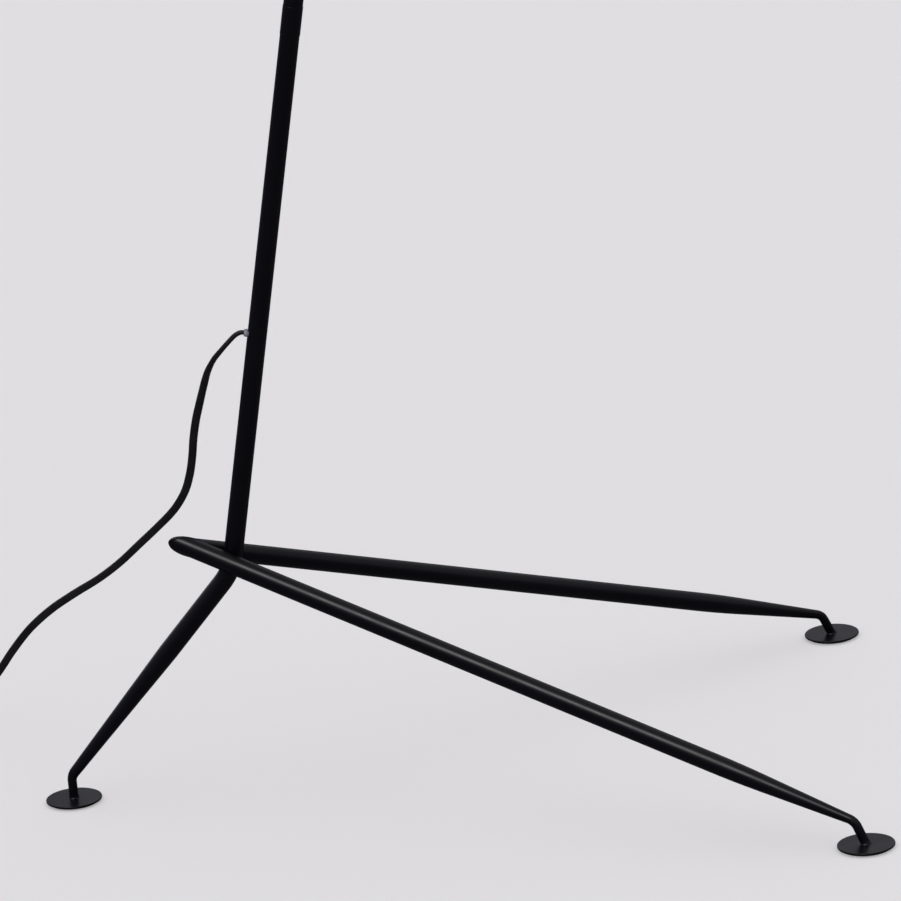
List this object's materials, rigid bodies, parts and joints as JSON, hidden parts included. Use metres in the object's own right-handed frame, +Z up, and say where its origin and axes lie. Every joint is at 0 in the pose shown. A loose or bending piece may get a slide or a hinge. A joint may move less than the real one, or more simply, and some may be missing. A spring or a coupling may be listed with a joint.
{
  "type": "tripod floor lamp",
  "caption": "Leaning-post tripod floor lamp with a V of front legs, disc feet, hooked swivel arm and tilting spun shade.",
  "frame": {"origin": "on the floor, at the middle of the box round the lamp without its cord", "axes": "+Z up, +X towards the two front feet, +Y to the lamp's left"},
  "size_m": [0.8643, 0.5542, 1.6066],
  "materials": {
    "black_paint": "satin near-black powder coat",
    "shade_paint": "satin near-black outside, matt white inside",
    "brass": "turned and lacquered",
    "steel": "bright zinc or nickel plate",
    "felt": "pressed black felt",
    "fibre": "matt vulcanised fibre",
    "clear_plastic": "milky translucent",
    "cord_plastic": "soft satin sheath",
    "black_plastic": "satin moulded",
    "ceramic": "unglazed steatite",
    "opal_glass": "opal white"
  },
  "bodies": {
    "stand": {"stem_lower": "black_paint", "front_leg_left": "black_paint", "front_leg_right": "black_paint", "foot_disc_left": "black_paint", "foot_disc_right": "black_paint", "foot_disc_rear": "black_paint", "foot_pad_left": "felt", "foot_pad_right": "felt", "foot_pad_rear": "felt", "stem_coupling": "black_paint", "stem_upper": "black_paint", "cord_bushing": "clear_plastic", "stem_flex": "cord_plastic", "stem_ferrule": "brass", "swivel_nipple": "steel", "swivel_washer": "fibre", "swivel_nut": "steel", "mains_cord": "cord_plastic", "cord_coil": "cord_plastic", "cord_tie": "cord_plastic", "cord_tail": "cord_plastic", "plug_body": "black_plastic", "plug_pin_left": "steel", "plug_pin_right": "steel"},
    "swivel_arm": {"arm_socket": "brass", "arm": "black_paint", "arm_flex": "cord_plastic", "knuckle_fork": "brass", "knuckle_screw": "brass", "knuckle_nut": "brass", "knuckle_washer_left": "fibre", "knuckle_washer_right": "fibre"},
    "lamp_head": {"knuckle_tongue": "brass", "head_nipple": "steel", "shade_cap": "black_paint", "shade_cap_nut": "steel", "switch_body": "black_plastic", "switch_bezel": "brass", "lampholder_body": "black_plastic", "lampholder_nut": "steel", "lampholder_core": "ceramic", "lampholder_contact": "brass", "lampholder_shell": "brass", "shade": "shade_paint", "shade_ring": "black_plastic", "bulb_contact": "steel", "bulb_cap": "steel", "bulb_glass": "opal_glass"},
    "button": {"switch_button": "black_plastic"}
  },
  "joints": [
    {"name": "arm_swivel", "type": "hinge", "parent": "stand", "child": "swivel_arm", "pos_m": [0.08463, 0, 1.47398], "axis": [0.1966, 0, 0.9805], "range_deg": [-170, 170]},
    {"name": "shade_tilt", "type": "hinge", "parent": "swivel_arm", "child": "lamp_head", "pos_m": [0.23766, 0, 1.49798], "axis": [0, -1, 0], "range_deg": [-20, 80]},
    {"name": "switch_press", "type": "slide", "parent": "lamp_head", "child": "button", "axis": [-1, 0, 0], "range_m": [0, 0.002], "stiffness_N_per_m": 500, "springref_m": -0.001}
  ]
}
